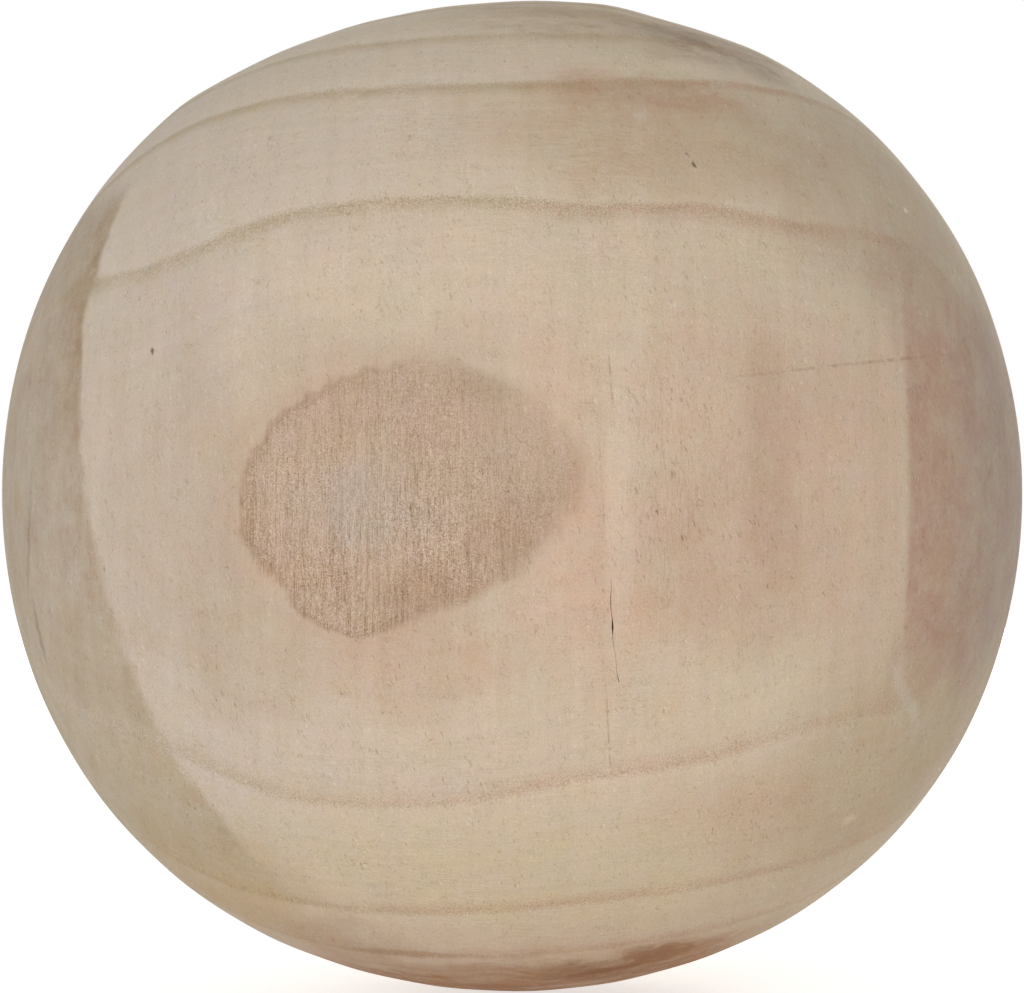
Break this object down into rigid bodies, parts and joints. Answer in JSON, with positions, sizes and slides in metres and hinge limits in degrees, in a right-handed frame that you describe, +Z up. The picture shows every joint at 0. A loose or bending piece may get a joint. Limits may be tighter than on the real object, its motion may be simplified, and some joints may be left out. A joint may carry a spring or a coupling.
{
  "type": "wooden ball",
  "caption": "Solid ball turned from one piece of pale wood with the grain running from pole to pole, hand sanded, slightly squarish, with two shallow flats near the top.",
  "frame": {"origin": "centre of the turned form, which lies within 0.2 mm of the middle of its box", "axes": "+X along the grain and the turning axis, +Z up with the two sanded flats near the top, -Y towards the front"},
  "size_m": [0.0506, 0.0494, 0.0491],
  "materials": {
    "wood": "bare, sanded, matt"
  },
  "bodies": {
    "root": {"ball": "wood"}
  },
  "joints": []
}
